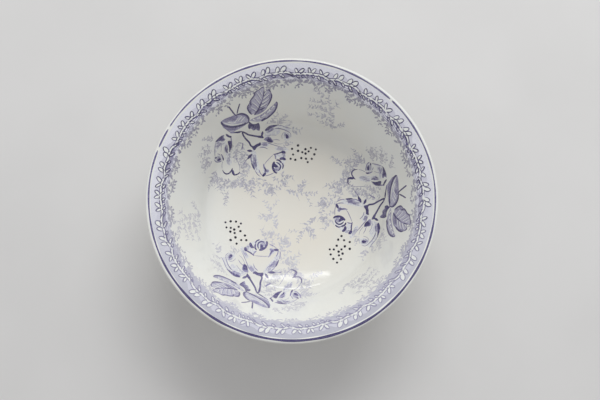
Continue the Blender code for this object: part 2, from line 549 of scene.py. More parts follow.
class Print:
    """One ink's share of a print: strokes and filled shapes on the chart, in millimetres."""

    def __init__(self, seed=1, weight=1.0):
        """weight scales the width of every line."""
        self.points = []
        self.faces = []
        self.random = random.Random(seed)
        self.weight = weight

    def ribbon(self, line, widths, across=1):
        """A band along a line, that many faces across."""
        line = np.asarray(line, float)
        ahead = np.gradient(line, axis=0)
        ahead /= np.maximum(np.hypot(ahead[:, 0], ahead[:, 1]), 1e-9)[:, None]
        aside = np.stack([-ahead[:, 1], ahead[:, 0]], axis=1) * (np.asarray(widths) / 2)[:, None]
        first = len(self.points)
        count = len(line)
        for row in range(across + 1):
            self.points += list(line + aside * (1 - 2 * row / across))
        for row in range(across):
            for i in range(first + row * count, first + row * count + count - 1):
                self.faces.append((i, i + count, i + count + 1, i + 1))

    def stroke(self, points, width, swell=(0.3, 0.3), least=0.25, step=0.8):
        """An engraved line that swells from least of its width over the given shares of its two ends."""
        line = smooth(points, step)
        if len(line) < 3:
            line = smooth(points, step / 3)
        share = np.linspace(0, 1, len(line))
        rise = np.minimum(np.minimum(share / swell[0], (1 - share) / swell[1]), 1)
        self.ribbon(line, width * self.weight * (least + (1 - least) * np.sin(rise * math.pi / 2)))

    def fill(self, outline, step=0.6):
        """A filled shape. Inner points on a grid let it follow the face's curve."""
        cell = 1.3
        edge = smooth(outline, step, True)
        low, high = edge.min(0), edge.max(0)
        inner = []
        for row, y in enumerate(np.arange(low[1] + cell / 2, high[1], cell * 0.87)):
            for x in np.arange(low[0] + (row % 2) * cell / 2, high[0], cell):
                if (crossings(edge, y) > x).sum() % 2 and np.hypot(*(edge - (x, y)).T).min() > cell * 0.35:
                    inner.append((x, y))
        places = [Vector(p) for p in list(edge) + inner]
        result = delaunay_2d_cdt(places, [], [list(range(len(edge)))], 1, 1e-5)
        first = len(self.points)
        self.points += [np.array(p) for p in result[0]]
        self.faces += [tuple(first + i for i in face) for face in result[2]]

    def hatch(self, outline, degrees, gap, width, fade=0.25):
        """Parallel engraved lines inside an outline. fade is how much of a line's length may be missing."""
        edge = turned_points(smooth(outline, 0.6, True), -degrees)
        for y in np.arange(edge[:, 1].min() + gap / 2, edge[:, 1].max(), gap):
            xs = np.sort(crossings(edge, y))
            for left, right in zip(xs[::2], xs[1::2]):
                left += (right - left) * fade * self.random.random()
                right -= (right - left) * fade * self.random.random()
                if right - left > 3 * width:
                    bow = self.random.uniform(-0.12, 0.12)
                    line = [(left, y), ((left + right) / 2, y + bow), (right, y)]
                    self.stroke(turned_points(line, degrees), width, step=1.4)

    def dot(self, place, size):
        sides = 14
        ring = []
        for i in range(sides):
            turn = 2 * math.pi * i / sides
            far = size / 2 * self.random.uniform(0.9, 1.1)
            ring.append((place[0] + far * math.cos(turn), place[1] + far * math.sin(turn)))
        first = len(self.points)
        self.points += [np.array(p) for p in ring]
        self.faces.append(tuple(range(first, first + sides)))

    def leaf(self, base, degrees, length, width, bend=0.0):
        """A filled leaflet with a point at its base."""
        outline = [(0, 0), (0, 0), (length * 0.3, width * 0.40), (length * 0.55, width / 2)]
        outline += [(length * 0.85, width * 0.30), (length, 0), (length * 0.85, -width * 0.30)]
        outline += [(length * 0.55, -width / 2), (length * 0.3, -width * 0.40)]
        outline = np.array([(x, y + bend * (x / length) ** 2) for x, y in outline])
        self.fill(turned_points(outline, degrees) + base, step=0.7)

    def made(self, name, lift, material, lay=None):
        """The piece, laid on the face. lay moves the chart points first."""
        chart = np.array(self.points)
        if lay:
            chart = lay(chart)
        places, normals = on_face(chart, lift)
        mesh = bpy.data.meshes.new(name)
        mesh.from_pydata(places.tolist(), [], self.faces)
        mesh.shade_smooth()
        mesh.update()
        up = np.zeros(len(mesh.polygons) * 3)
        mesh.polygons.foreach_get("normal", up)
        if up.reshape(-1, 3)[:, 2].sum() < 0:
            mesh.flip_normals()
        mesh.normals_split_custom_set_from_vertices(normals.tolist())
        keep(linked(name, mesh), "glaze", material)


# ---------------------------------------------------------------- the spray of roses


class Spray:
    """The spray's five layers, from the lowest to the highest."""

    def __init__(self):
        self.wash = Print(13)
        self.leaf = Print(14)
        self.light = Print(15)
        self.tone = Print(12, 1.35)
        self.ink = Print(11, 1.30)


def long_leaf(s):
    """The leaf that lies to the left, with its dark midrib and the notches along it."""
    upper = [(-46.4, 82.5), (-47.2, 86.5), (-49.5, 89.8), (-53, 91.5), (-57, 91.8)]
    upper += [(-61, 90), (-65.5, 87.8), (-70, 86), (-74.5, 83.8), (-78.5, 80.8)]
    rib = [(-78.5, 80.5), (-75, 77.8), (-70, 76.6), (-64, 76.3)]
    rib += [(-59, 77.2), (-54, 78.4), (-50, 80), (-46.4, 82.5)]
    lower = [(-77, 78.6), (-74, 75.2), (-69.5, 73), (-65.5, 71)]
    lower += [(-62, 70.2), (-59, 72.5), (-54.5, 75.3), (-49, 79)]
    s.leaf.fill(upper + rib[1:])
    s.leaf.fill(rib[:-1] + lower[::-1])
    s.light.stroke([(-75.5, 80.2), (-70, 78.9), (-64, 78.4), (-58, 79.3), (-52, 81.4)], 1.5, (0.4, 0.4))
    s.light.stroke([(-72, 81.8), (-66, 80.6), (-60, 81.4)], 1.1, (0.5, 0.5))
    for x, y in ((-57, 86.5), (-53.5, 86), (-60.5, 84.5)):
        s.light.stroke([(x - 2, y - 3.6), (x, y), (x + 1.4, y + 2.4)], 0.9)
    s.tone.hatch([(-71, 85.8), (-61.5, 90.5), (-59.5, 86.5), (-63, 83), (-70, 82.6)], 30, 0.52, 0.42)
    s.tone.hatch([(-62, 90.4), (-55, 91.8), (-50, 90), (-47, 85), (-50.5, 86.6), (-55, 89)], 12, 0.55, 0.36)
    s.tone.hatch([(-78, 80.8), (-71, 85.5), (-68, 83), (-72, 81), (-76, 80)], 20, 0.55, 0.34)
    shape = [(-76.5, 78), (-73, 74.4), (-66, 71.4), (-59, 72.8), (-57, 76.4), (-64, 76), (-70, 76.4)]
    s.tone.hatch(shape, -50, 0.5, 0.40, 0.2)
    s.tone.hatch([(-57, 76.4), (-59, 72.8), (-54.5, 75.3), (-49, 79.6)], -50, 0.7, 0.25, 0.3)
    line = [(-63, 89.4), (-59, 91.2), (-55, 91.6), (-50.5, 90), (-47.4, 86.6), (-46.4, 82.6)]
    s.ink.stroke(line, 1.5, (0.3, 0.3), 0.4)
    s.tone.stroke([(-63, 89.2), (-66, 88), (-70.5, 86), (-75, 83.6), (-78.5, 80.8)], 0.8)
    s.ink.stroke(rib, 1.7, (0.10, 0.3), 0.45)
    s.ink.stroke([(-78.4, 80.8), (-77, 79), (-73.5, 77.2), (-69, 76.4)], 1.7)
    s.tone.stroke(lower, 0.45)
    for x, y in ((-58.6, 77.4), (-55.6, 78.4), (-52.4, 79.8), (-50.2, 81)):
        s.ink.stroke([(x + 0.6, y + 0.8), (x, y - 0.2), (x - 0.7, y - 1.9)], 1.3)


def broad_leaf(s):
    """The toothed leaf that stands up the wall, split down its midrib."""
    left = [(-44, 92.2), (-47.2, 93), (-50, 96), (-51.6, 99.6), (-50.8, 103), (-50.8, 103)]
    left += [(-49.6, 105.6), (-49.8, 108), (-48, 111.4), (-48, 111.4), (-46.6, 113.6), (-46.2, 117.4)]
    left += [(-46.2, 117.4), (-43, 119.6), (-40, 122.8), (-37.6, 124.4), (-36.6, 121)]
    rib = [(-41.6, 91.2), (-39.8, 96), (-38.2, 101), (-37.2, 106), (-36.5, 112), (-36.4, 120.5)]
    right = [(-36, 117), (-34, 119.8), (-31.6, 121.8), (-29.4, 120.2), (-29.4, 120.2), (-28.4, 117.4)]
    right += [(-27.2, 114.5), (-27.8, 110), (-27.8, 110), (-28.6, 106), (-30.2, 102.4)]
    right += [(-30.2, 102.4), (-31.6, 98.5), (-35, 94.6), (-38.5, 92.2), (-41.6, 91.2)]
    s.leaf.fill(left + rib[::-1])
    s.leaf.fill(rib + right)
    left_veins = (
        [(-38.4, 114), (-40.6, 117.4), (-42, 119.4)],
        [(-38.2, 108.4), (-41.2, 112.4), (-44.6, 116.2)],
        [(-38.8, 103), (-42.4, 107), (-46.8, 110.6)],
        [(-39.6, 98.4), (-43, 101.6), (-48.6, 104.8)],
        [(-40.8, 94.4), (-44, 96.6), (-48.8, 98.8)],
    )
    right_veins = (
        [(-36, 113.4), (-34, 116.6), (-32.6, 119.4)],
        [(-36.4, 108.4), (-33, 112.2), (-29.8, 115.8)],
        [(-37, 103.8), (-33, 107), (-29.8, 110.4)],
        [(-37.8, 99.6), (-34, 102), (-31, 104.6)],
    )
    for vein in left_veins:
        s.light.stroke([(x + 0.3, y + 1.2) for x, y in vein], 0.7, (0.2, 0.6))
        s.tone.stroke(vein, 0.6, (0.1, 0.7))
    for vein in right_veins:
        s.light.stroke([(x - 0.3, y + 1.3) for x, y in vein], 1.0, (0.2, 0.6))
        s.ink.stroke(vein, 0.42, (0.1, 0.7))
    shape = [(-51.4, 100), (-49.8, 106.5), (-48.6, 108), (-47.6, 104), (-47.8, 98), (-49.4, 96)]
    s.tone.hatch(shape, -68, 0.5, 0.40, 0.3)
    s.tone.hatch([(-49.6, 95.6), (-47, 98.4), (-44.4, 94), (-45.6, 92.6), (-47.6, 93.4)], -62, 0.6, 0.34)
    s.tone.hatch([(-48.2, 110.6), (-46.2, 117), (-44.4, 118.6), (-45, 114), (-46.6, 110)], -62, 0.55, 0.32)
    s.tone.hatch([(-41.8, 91.8), (-39, 98), (-32.2, 101.6), (-31.8, 98), (-36, 93.8)], 28, 0.45, 0.40, 0.3)
    shape = [(-30, 102), (-28, 108), (-27.4, 114), (-29.6, 119), (-30.4, 114), (-30, 108)]
    s.tone.hatch(shape, 70, 0.5, 0.32)
    s.ink.stroke([(-51, 103), (-51.6, 99.4), (-50, 96), (-47, 92.8), (-45, 91.4)], 1.25)
    s.tone.stroke(left, 0.75, (0.1, 0.1), 0.6)
    line = [(-50.6, 104.6), (-49.8, 107.4), (-48, 111), (-46.8, 113.6), (-46.2, 117.4), (-43.4, 119.4)]
    s.ink.stroke(line, 0.95)
    s.ink.stroke([(-50.6, 106.8), (-49.4, 104), (-47.6, 101.6)], 1.1)
    s.tone.stroke(rib, 1.0, (0.08, 0.3), 0.5)
    line = [(-42.2, 90.8), (-40.8, 93.8), (-39.4, 97), (-38.4, 101.4), (-37.4, 107)]
    s.ink.stroke(line, 1.6, (0.15, 0.7), 0.25)
    s.tone.stroke(right, 0.6, (0.1, 0.1), 0.5)
    s.ink.stroke([(-30.4, 102), (-28.8, 106.4), (-27.6, 110.6), (-27.4, 115), (-28.8, 118.6)], 1.25)
    s.ink.stroke([(-32.6, 120.4), (-30.8, 121.4), (-29.4, 119)], 1.0)
    s.ink.stroke([(-39.6, 96.4), (-36, 98.2), (-32.4, 100.6)], 1.0)
    s.ink.stroke([(-36.5, 120.8), (-36.3, 117), (-36.6, 113)], 0.9)
    s.ink.stroke([(-43, 119.8), (-40.2, 122.6), (-37.8, 123.8)], 0.6)


def narrow_leaf(s):
    """The narrow leaf that curls up beside the broad one, from where the stems meet."""
    inner = [(-45, 85.2), (-40.6, 88), (-35.8, 90.8), (-31.2, 95)]
    inner += [(-27.4, 99.6), (-24, 104), (-21.4, 108.2)]
    outer = [(-20.2, 106), (-20.4, 101), (-22, 96), (-24.8, 91.6)]
    outer += [(-28.2, 87.6), (-32.4, 84.4), (-38, 83.2), (-45, 84)]
    s.leaf.fill(inner + outer)
    rib = [(-42.6, 85.6), (-36.8, 87.4), (-31.6, 91.2), (-27.4, 96.4), (-24, 101.6), (-21.8, 106.6)]
    s.light.stroke(rib, 0.9, (0.2, 0.5))
    for (x, y), degrees in zip(rib[:5], (14, 30, 44, 52, 62)):
        for side in (-1, 1):
            vein = turned_points([(0, 0), (1.6, 0.9 * side), (3.4, 1.3 * side)], degrees)
            s.light.stroke(vein + (x, y), 0.9, (0.2, 0.6))
            s.tone.stroke(vein + (x + 1.0, y + 1.2), 0.7, (0.2, 0.6))
    shape = [(-36, 84), (-31, 86.6), (-26.6, 91.8), (-22.8, 98.6)]
    shape += [(-21.6, 105), (-20.6, 102), (-24, 92.6), (-31, 85)]
    s.tone.hatch(shape, 48, 0.45, 0.42, 0.15)
    s.tone.stroke(inner, 0.45)
    s.ink.stroke([(-21.2, 108.2)] + outer[:6], 1.2, (0.2, 0.3), 0.4)
    s.tone.stroke([(-21.2, 108.2), (-21.8, 105.4), (-22.6, 102.6)], 0.7)
    s.ink.stroke([(-33.4, 84), (-31.4, 85.8), (-29.2, 88.2)], 1.8)


def fold_leaf(s):
    """The dark folded leaf where the stems meet."""
    outline = [(-46.2, 83), (-46.2, 83), (-42, 80.4), (-38.4, 80.2), (-35.8, 81.8), (-35.8, 81.8)]
    outline += [(-34.2, 78.6), (-32.8, 74.4), (-32.8, 72.4), (-34.8, 73), (-36.4, 74)]
    outline += [(-38.6, 72.8), (-40.4, 73.8), (-42.2, 75), (-43.6, 74.2), (-45, 77.4), (-45.8, 80)]
    s.tone.fill(outline)
    s.ink.hatch(outline, 68, 0.62, 0.36, 0.35)
    shape = [(-46.2, 83), (-42, 80.6), (-38.4, 80.4), (-35.8, 82)]
    shape += [(-35.6, 79.8), (-39, 78.8), (-42.4, 77.4), (-44.6, 78)]
    s.ink.fill(shape)
    s.ink.stroke([(-45.8, 80), (-44.8, 77), (-43.4, 74.6)], 1.3)
    s.ink.stroke([(-35.6, 81.4), (-34, 78), (-32.8, 72.8)], 0.8)


def stems(s):
    ink = s.ink
    ink.stroke([(-73.6, 98.4), (-69.6, 94.8), (-65.6, 91.2), (-62.4, 88.6)], 1.25, (0.1, 0.4))
    ink.stroke([(-61.3, 103), (-61.9, 97), (-61.9, 91)], 1.15, (0.15, 0.3))
    s.tone.stroke([(-64, 90.4), (-61.4, 88.6), (-60.4, 86.4)], 1.4)
    s.tone.stroke([(-64, 69.6), (-59, 70.2), (-54, 70.8)], 1.1)
    ink.stroke([(-60, 70), (-55, 70.9), (-50.5, 71.6)], 1.25)
    line = [(-51, 71.4), (-47, 70), (-43, 68), (-38, 67.2), (-33, 66.8), (-29, 66.8)]
    ink.stroke(line, 1.25, (0.1, 0.1), 0.6)
    ink.stroke([(-57, 70.2), (-54.4, 70.8), (-52, 71.2)], 1.7)
    line = [(-50.6, 71.4), (-48.4, 67.6), (-44.6, 63.6), (-41, 60.8), (-39, 58), (-37.4, 56.6)]
    ink.stroke(line, 1.2, (0.1, 0.1), 0.5)
    shape = [(-33, 67.6), (-30.6, 68), (-30.6, 70), (-29.4, 72.4), (-28.4, 70.4)]
    shape += [(-28.8, 68), (-27.6, 65.9), (-31, 65.6), (-33.4, 66)]
    ink.fill(shape)
    shape = [(-38.4, 57.6), (-36.2, 57.8), (-34, 59.6), (-31.6, 60.8), (-30.6, 61.8)]
    shape += [(-29.6, 60.2), (-30.4, 58.6), (-32.8, 57.2), (-35.4, 53.8)]
    ink.fill(shape)
    ink.fill([(-42, 52.8), (-39.2, 54.1), (-36.8, 52.8), (-39.4, 51.8)])
    ink.fill([(-36.8, 50), (-39.4, 49), (-41.2, 44.8), (-38.4, 46.4)])
    s.tone.stroke([(-40.6, 45.6), (-42.6, 42.6), (-44, 39)], 0.5)


def great_rose(s):
    """The full rose in the middle, seen from its side, with its eye at the right."""
    shape = [(-37.5, 54), (-34, 53), (-31.8, 47), (-29.6, 40)]
    shape += [(-28, 33.6), (-32, 34.5), (-35.8, 40), (-37.6, 47)]
    s.wash.fill(shape)
    shape = [(-36.6, 51.5), (-34.6, 52.5), (-32.2, 44), (-30.6, 36.2), (-33.2, 36), (-36.6, 43)]
    s.tone.hatch(shape, -72, 0.6, 0.34, 0.35)
    s.tone.hatch([(-35.4, 46), (-33, 45), (-31.4, 37.5), (-33.6, 37)], -66, 0.5, 0.30, 0.35)
    s.ink.stroke([(-36.6, 42), (-35.4, 39.4), (-33.2, 36)], 1.0)
    s.tone.stroke([(-37.2, 50.4), (-37.6, 46.2), (-36.4, 41.6)], 0.7)
    s.wash.fill([(-31, 58.6), (-29, 61.6), (-23, 62), (-22.4, 59.4), (-27, 57.4)])
    s.tone.hatch([(-30, 60.2), (-27, 61.8), (-22.6, 61.2), (-23.6, 59.4), (-28.5, 58.8)], 8, 0.5, 0.34, 0.2)
    s.tone.stroke([(-29.4, 61.4), (-24.5, 62), (-19, 60.8), (-13, 59.6), (-8, 58.9)], 0.5, (0.2, 0.6))
    s.tone.stroke([(-31, 56.6), (-27, 57.4), (-23, 56.4)], 0.5)
    s.wash.fill([(-15.6, 59), (-9, 59.2), (-3.8, 57.6), (-5.8, 55.4), (-10, 55.8), (-16, 56)])
    s.tone.hatch([(-15, 58.6), (-9, 58.8), (-5, 57.4), (-10, 56.4), (-15.4, 56.4)], 4, 0.6, 0.22)
    s.ink.stroke([(-17.6, 51.8), (-14, 52.8), (-11, 54.2), (-8.8, 55), (-6.2, 53.8)], 0.9)
    s.ink.stroke([(-10.4, 54.4), (-8.6, 54.9), (-6.6, 54)], 2.0)
    s.tone.stroke([(-17.2, 52.3), (-15.6, 50.6), (-15.2, 47.6)], 0.8)
    s.wash.fill([(-15, 52), (-10.8, 53.4), (-6.6, 53), (-6.4, 50), (-11, 49.4), (-14.6, 48)])
    s.tone.hatch([(-9.6, 53.4), (-6.6, 53.2), (-6.4, 50), (-8.8, 50)], 70, 0.6, 0.30)
    s.ink.stroke([(-11.4, 47.8), (-8.8, 49), (-5.6, 48)], 1.9)
    s.ink.stroke([(-14.6, 46.9), (-12.2, 47), (-10.4, 45.8), (-9, 44.4)], 1.1)
    shape = [(-6, 48), (-6.8, 44), (-7.2, 40), (-9.8, 37.6)]
    shape += [(-12.6, 35.4), (-15.6, 37), (-16, 43), (-12, 46)]
    s.wash.fill(shape)
    s.tone.hatch([(-14.6, 40.4), (-11, 42), (-10.6, 38), (-13, 35.8), (-15.4, 37.6)], 55, 0.6, 0.30)
    line = [(-15.8, 45.2), (-17, 42), (-16.6, 38.6), (-14.4, 35.6), (-12.6, 35)]
    s.ink.stroke(line, 1.5, (0.15, 0.3), 0.5)
    s.ink.fill([(-16.4, 44.4), (-14.6, 43.2), (-12, 41.2), (-13.4, 40.2), (-16.4, 40.6)])
    s.ink.stroke([(-14.4, 44.8), (-11.6, 43.8), (-10, 41.6), (-10.4, 38.8), (-12, 37.2)], 1.0)
    s.ink.stroke([(-8.8, 44.6), (-7.6, 42.4), (-8, 39.2)], 0.9)
    s.tone.stroke([(-16, 39.2), (-14, 37.7), (-11.6, 38.2)], 0.7)
    s.wash.fill([(-25.4, 42), (-23, 38.6), (-19.8, 37), (-19.8, 34.8), (-22.8, 33.2), (-25.4, 30.6)])
    s.tone.hatch([(-25, 41.2), (-23, 38.4), (-20, 36.6), (-21.2, 34), (-24, 34)], -58, 0.5, 0.40, 0.25)
    s.tone.stroke([(-25.8, 42.4), (-24.8, 39), (-22.8, 36), (-23.6, 33.4), (-25.4, 30.8)], 1.0)
    s.ink.stroke([(-24.6, 39), (-23.2, 36.6), (-22.6, 35)], 0.6)
    s.ink.stroke([(-22.9, 34.2), (-24.2, 32.4), (-25.6, 30.6)], 1.7)
    s.tone.stroke([(-17.6, 51.4), (-19.6, 49.2), (-21.8, 46.4), (-23.8, 43.6), (-25.2, 41)], 0.4)
    s.tone.stroke([(-23.6, 31.2), (-19.6, 32.6), (-15.6, 34.8)], 0.5)
    s.tone.stroke([(-29.4, 36.4), (-27.8, 33.4), (-25.6, 31.2)], 0.6)
    s.tone.stroke([(-33, 35.6), (-30.6, 32.4), (-27.4, 30.2)], 0.5)


def high_bud(s):
    """The half-open rose at the upper right, with a dark sepal on each side."""
    shape = [(-27.6, 73.2), (-25.6, 76.8), (-23, 79), (-19, 79.8)]
    shape += [(-16, 79.4), (-19, 77.2), (-22, 75.6), (-24.6, 73)]
    s.tone.fill(shape)
    shape = [(-27.4, 74), (-25.4, 77), (-22.8, 78.8), (-19, 79.6), (-15, 80.2)]
    shape += [(-18.6, 78), (-21.4, 76.6), (-24, 74.4), (-26.6, 73)]
    s.ink.fill(shape)
    shape = [(-26.6, 73), (-23.6, 74.6), (-20.6, 76.8), (-17.6, 76.2), (-22, 72.4), (-26, 70.4)]
    s.tone.hatch(shape, 35, 0.5, 0.36, 0.25)
    shape = [(-27.4, 64.8), (-24.8, 67.2), (-22, 67.6), (-20, 65.6)]
    shape += [(-18.6, 63.2), (-22, 62.8), (-25.2, 63.4)]
    s.tone.fill(shape)
    s.ink.hatch([(-25.6, 65.4), (-22.4, 67), (-19.8, 65), (-19, 63.4), (-24.4, 63.6)], -20, 0.5, 0.42, 0.2)
    s.ink.stroke([(-24.6, 64), (-22, 63.2), (-19, 63.4)], 1.3)
    shape = [(-27, 72), (-23, 74.6), (-18, 76.4), (-13, 74)]
    shape += [(-15, 70.6), (-20, 69.6), (-24, 67.6), (-27, 66.4)]
    s.wash.fill(shape)
    s.wash.fill([(-19, 79), (-12, 79.2), (-5, 77.4), (-4, 74.6), (-9, 75.6), (-16, 76.4)])
    s.tone.stroke([(-25.6, 68.2), (-21, 69.4), (-16, 69.6)], 0.3)
    s.tone.stroke([(-18.6, 79.2), (-13, 79.4), (-8, 77.8), (-3, 77.2)], 0.5)
    s.tone.stroke([(-19, 75.6), (-15.8, 76), (-11.4, 75.8), (-8, 74.8), (-4.4, 73.6)], 0.6)
    s.ink.stroke([(-18, 76), (-14.6, 76.2), (-11, 75.8)], 0.4)
    s.tone.stroke([(-9.8, 73.2), (-11.2, 70), (-10.6, 66.6)], 0.3)
    s.ink.fill([(-7.8, 71.2), (-6.2, 71), (-5, 69.4), (-5.6, 67.6), (-7.2, 68)])
    s.tone.stroke([(-6.2, 74), (-3.4, 72.4), (-2.8, 69)], 0.3)
    s.wash.fill([(-9.6, 72.8), (-5.4, 73.4), (-3.2, 70), (-4.6, 66.4), (-8.6, 66)])
    s.tone.hatch([(-9.4, 72.6), (-5.4, 73.2), (-4, 70), (-5, 67.4), (-8.8, 68)], 60, 0.6, 0.34, 0.3)
    s.tone.stroke([(-20, 64.8), (-16, 65.6), (-12.6, 65.4)], 0.4)
    s.tone.stroke([(-19, 62.6), (-14, 61.8), (-9.6, 62.6)], 0.25)


def nodding_rose(s):
    """The rose that hangs to the left, with a dark sepal on each side and two curled petals below."""
    shape = [(-79, 59), (-77, 62.4), (-74, 65.6), (-70.6, 67), (-70.4, 64.4)]
    shape += [(-67.6, 62), (-70.4, 60), (-74, 60), (-77, 59.2)]
    s.tone.fill(shape)
    shape = [(-78.6, 59.4), (-76, 63), (-71.4, 66.4), (-70.6, 63.4), (-68.4, 61.8), (-75, 60.2)]
    s.ink.hatch(shape, 40, 0.5, 0.44, 0.15)
    s.ink.fill([(-79.2, 58.8), (-77, 62.6), (-73.6, 65.8), (-72.6, 64.4), (-75.4, 61.4), (-77.6, 59)])
    shape = [(-69, 68.2), (-66.4, 67.8), (-63.8, 66.6), (-61.4, 66.2)]
    shape += [(-61.6, 64.4), (-64.6, 64.9), (-67.4, 66)]
    s.ink.fill(shape)
    s.tone.stroke([(-61.6, 65), (-60.2, 61.8), (-58.6, 59)], 0.9, (0.1, 0.1), 0.6)
    shape = [(-63.8, 60.8), (-60, 60.8), (-57.8, 57.8), (-57, 54.4), (-57.8, 50.8)]
    shape += [(-58.4, 49.4), (-59.4, 52.6), (-61, 55.6), (-62.8, 58)]
    s.ink.fill(shape)
    shape = [(-78, 59), (-71, 60.2), (-66, 60), (-66.6, 56.6)]
    shape += [(-70, 55), (-73, 51), (-75.6, 47.6), (-77.4, 53)]
    s.wash.fill(shape)
    shape = [(-77.8, 58.4), (-70, 59.6), (-66.6, 58.4), (-70.4, 56.2), (-74.2, 52), (-76.6, 52.6)]
    s.tone.hatch(shape, 22, 0.6, 0.34, 0.35)
    s.tone.stroke([(-78.6, 58), (-77.6, 52.6), (-76, 47.6), (-74.4, 44)], 0.7)
    s.tone.stroke([(-70.6, 57), (-69.6, 53.4), (-68.4, 48.8)], 0.35)
    s.wash.fill([(-66.4, 57.6), (-63, 57), (-59.8, 50), (-61.4, 47), (-65.4, 51)])
    s.tone.hatch([(-65.6, 57), (-63, 56.6), (-60, 50), (-61.6, 48), (-65, 52)], -62, 0.55, 0.36, 0.3)
    s.ink.stroke([(-64.2, 56.2), (-64.6, 53.6), (-63.4, 51.6)], 0.6)
    s.ink.stroke([(-61.8, 53), (-61.6, 50.6), (-60, 48.4)], 0.9)
    s.tone.stroke([(-72.4, 47), (-69.8, 46.6), (-67.6, 45.6)], 0.5)
    s.tone.stroke([(-67.4, 47), (-65.2, 45), (-63.4, 42.8), (-63, 40.8)], 0.9)
    s.ink.stroke([(-64.6, 43.8), (-63.4, 42.6), (-63.2, 41)], 1.1)
    s.ink.stroke([(-74.4, 42.4), (-73, 43), (-71.8, 42.6)], 1.3)
    s.ink.fill([(-70.8, 40.4), (-69, 42.4), (-67, 42.9), (-65.8, 41.6), (-67.8, 40.2)])
    s.wash.fill([(-74.4, 43), (-70, 46), (-66, 44.4), (-64.4, 41), (-68, 38.6), (-73, 39.4)])
    s.tone.hatch([(-73, 43.2), (-69, 45), (-65.4, 43.6), (-66.4, 40.4), (-71, 40)], 20, 0.6, 0.30)
    s.tone.stroke([(-74.4, 41), (-71, 39), (-66.8, 39.4), (-64.4, 40.6)], 0.8)
    s.wash.fill([(-61.6, 48), (-58, 48.6), (-55.4, 43), (-55, 38), (-58, 38), (-61, 42)])
    s.tone.hatch([(-60.6, 48), (-57, 48), (-55.2, 42), (-56.4, 37), (-59, 40)], -68, 0.7, 0.28, 0.5)
    line = [(-62.4, 32.6), (-61.2, 30.6), (-58.8, 29.2), (-56.2, 30), (-54.6, 32.2), (-53.6, 35)]
    s.ink.stroke(line, 0.9)
    line = [(-53.6, 35.4), (-53.2, 31.8), (-51.6, 29.2), (-49.2, 29.8), (-47.4, 31), (-46.4, 32.8)]
    s.ink.stroke(line, 0.9)
    s.ink.stroke([(-53.2, 33.4), (-52.6, 31), (-51.2, 29.2)], 1.7)
    s.tone.stroke([(-46.6, 33), (-47.4, 38), (-50.2, 43.2), (-52.4, 48.4)], 0.3)
    s.tone.stroke([(-62.8, 33.4), (-63.6, 37), (-63.4, 40.4)], 0.3)
    s.tone.stroke([(-46.6, 59.6), (-46.4, 56.6), (-46.9, 53.4)], 0.8)


def spray_prints():
    spray = Spray()
    for draw in (long_leaf, broad_leaf, narrow_leaf, fold_leaf, stems, great_rose, high_bud, nodding_rose):
        draw(spray)
    return spray


# Where the berries lie on the chart, as a fit of the three clusters gave it.
BERRIES = [
    (2.6, 48.3), (12.4, 49.2), (5.2, 61.5), (21.6, 57.6), (8.1, 49.9), (17.7, 49.0), (-0.3, 58.5),
    (20.2, 53.1), (0.6, 53.2), (5.2, 56.6), (9.1, 55.2), (12.1, 54.0), (14.9, 55.9), (-1.7, 49.3),
    (14.0, 46.0), (17.1, 59.1), (12.0, 58.0),
]


def berry_print():
    """The loose cluster of dots beside the great rose."""
    berries = Print(5)
    for place in BERRIES:
        berries.dot(place, berries.random.uniform(1.9, 2.35))
    return berries


# How each of the three sprays is laid: a slip, which is a small turn about the spray's middle and a slide on
# the chart, and then a turn round the bowl.
SPRAY_MIDDLE = (-40.0, 60.0)
LAYS = [
    {"third": 0, "slip": -5.3, "slide": (0.8, 3.6)},
    {"third": -120, "slip": 0.0, "slide": (0.0, 0.0)},
    {"third": 120, "slip": 4.4, "slide": (-0.6, -3.2)},
]


def laid(lay, slips):
    """What moves chart points to where a spray is laid. The berries and the pale foliage don't slip."""

    def move(points):
        if slips:
            points = turned_points(points, lay["slip"], SPRAY_MIDDLE) + lay["slide"]
        return turned_points(points, lay["third"])

    return move


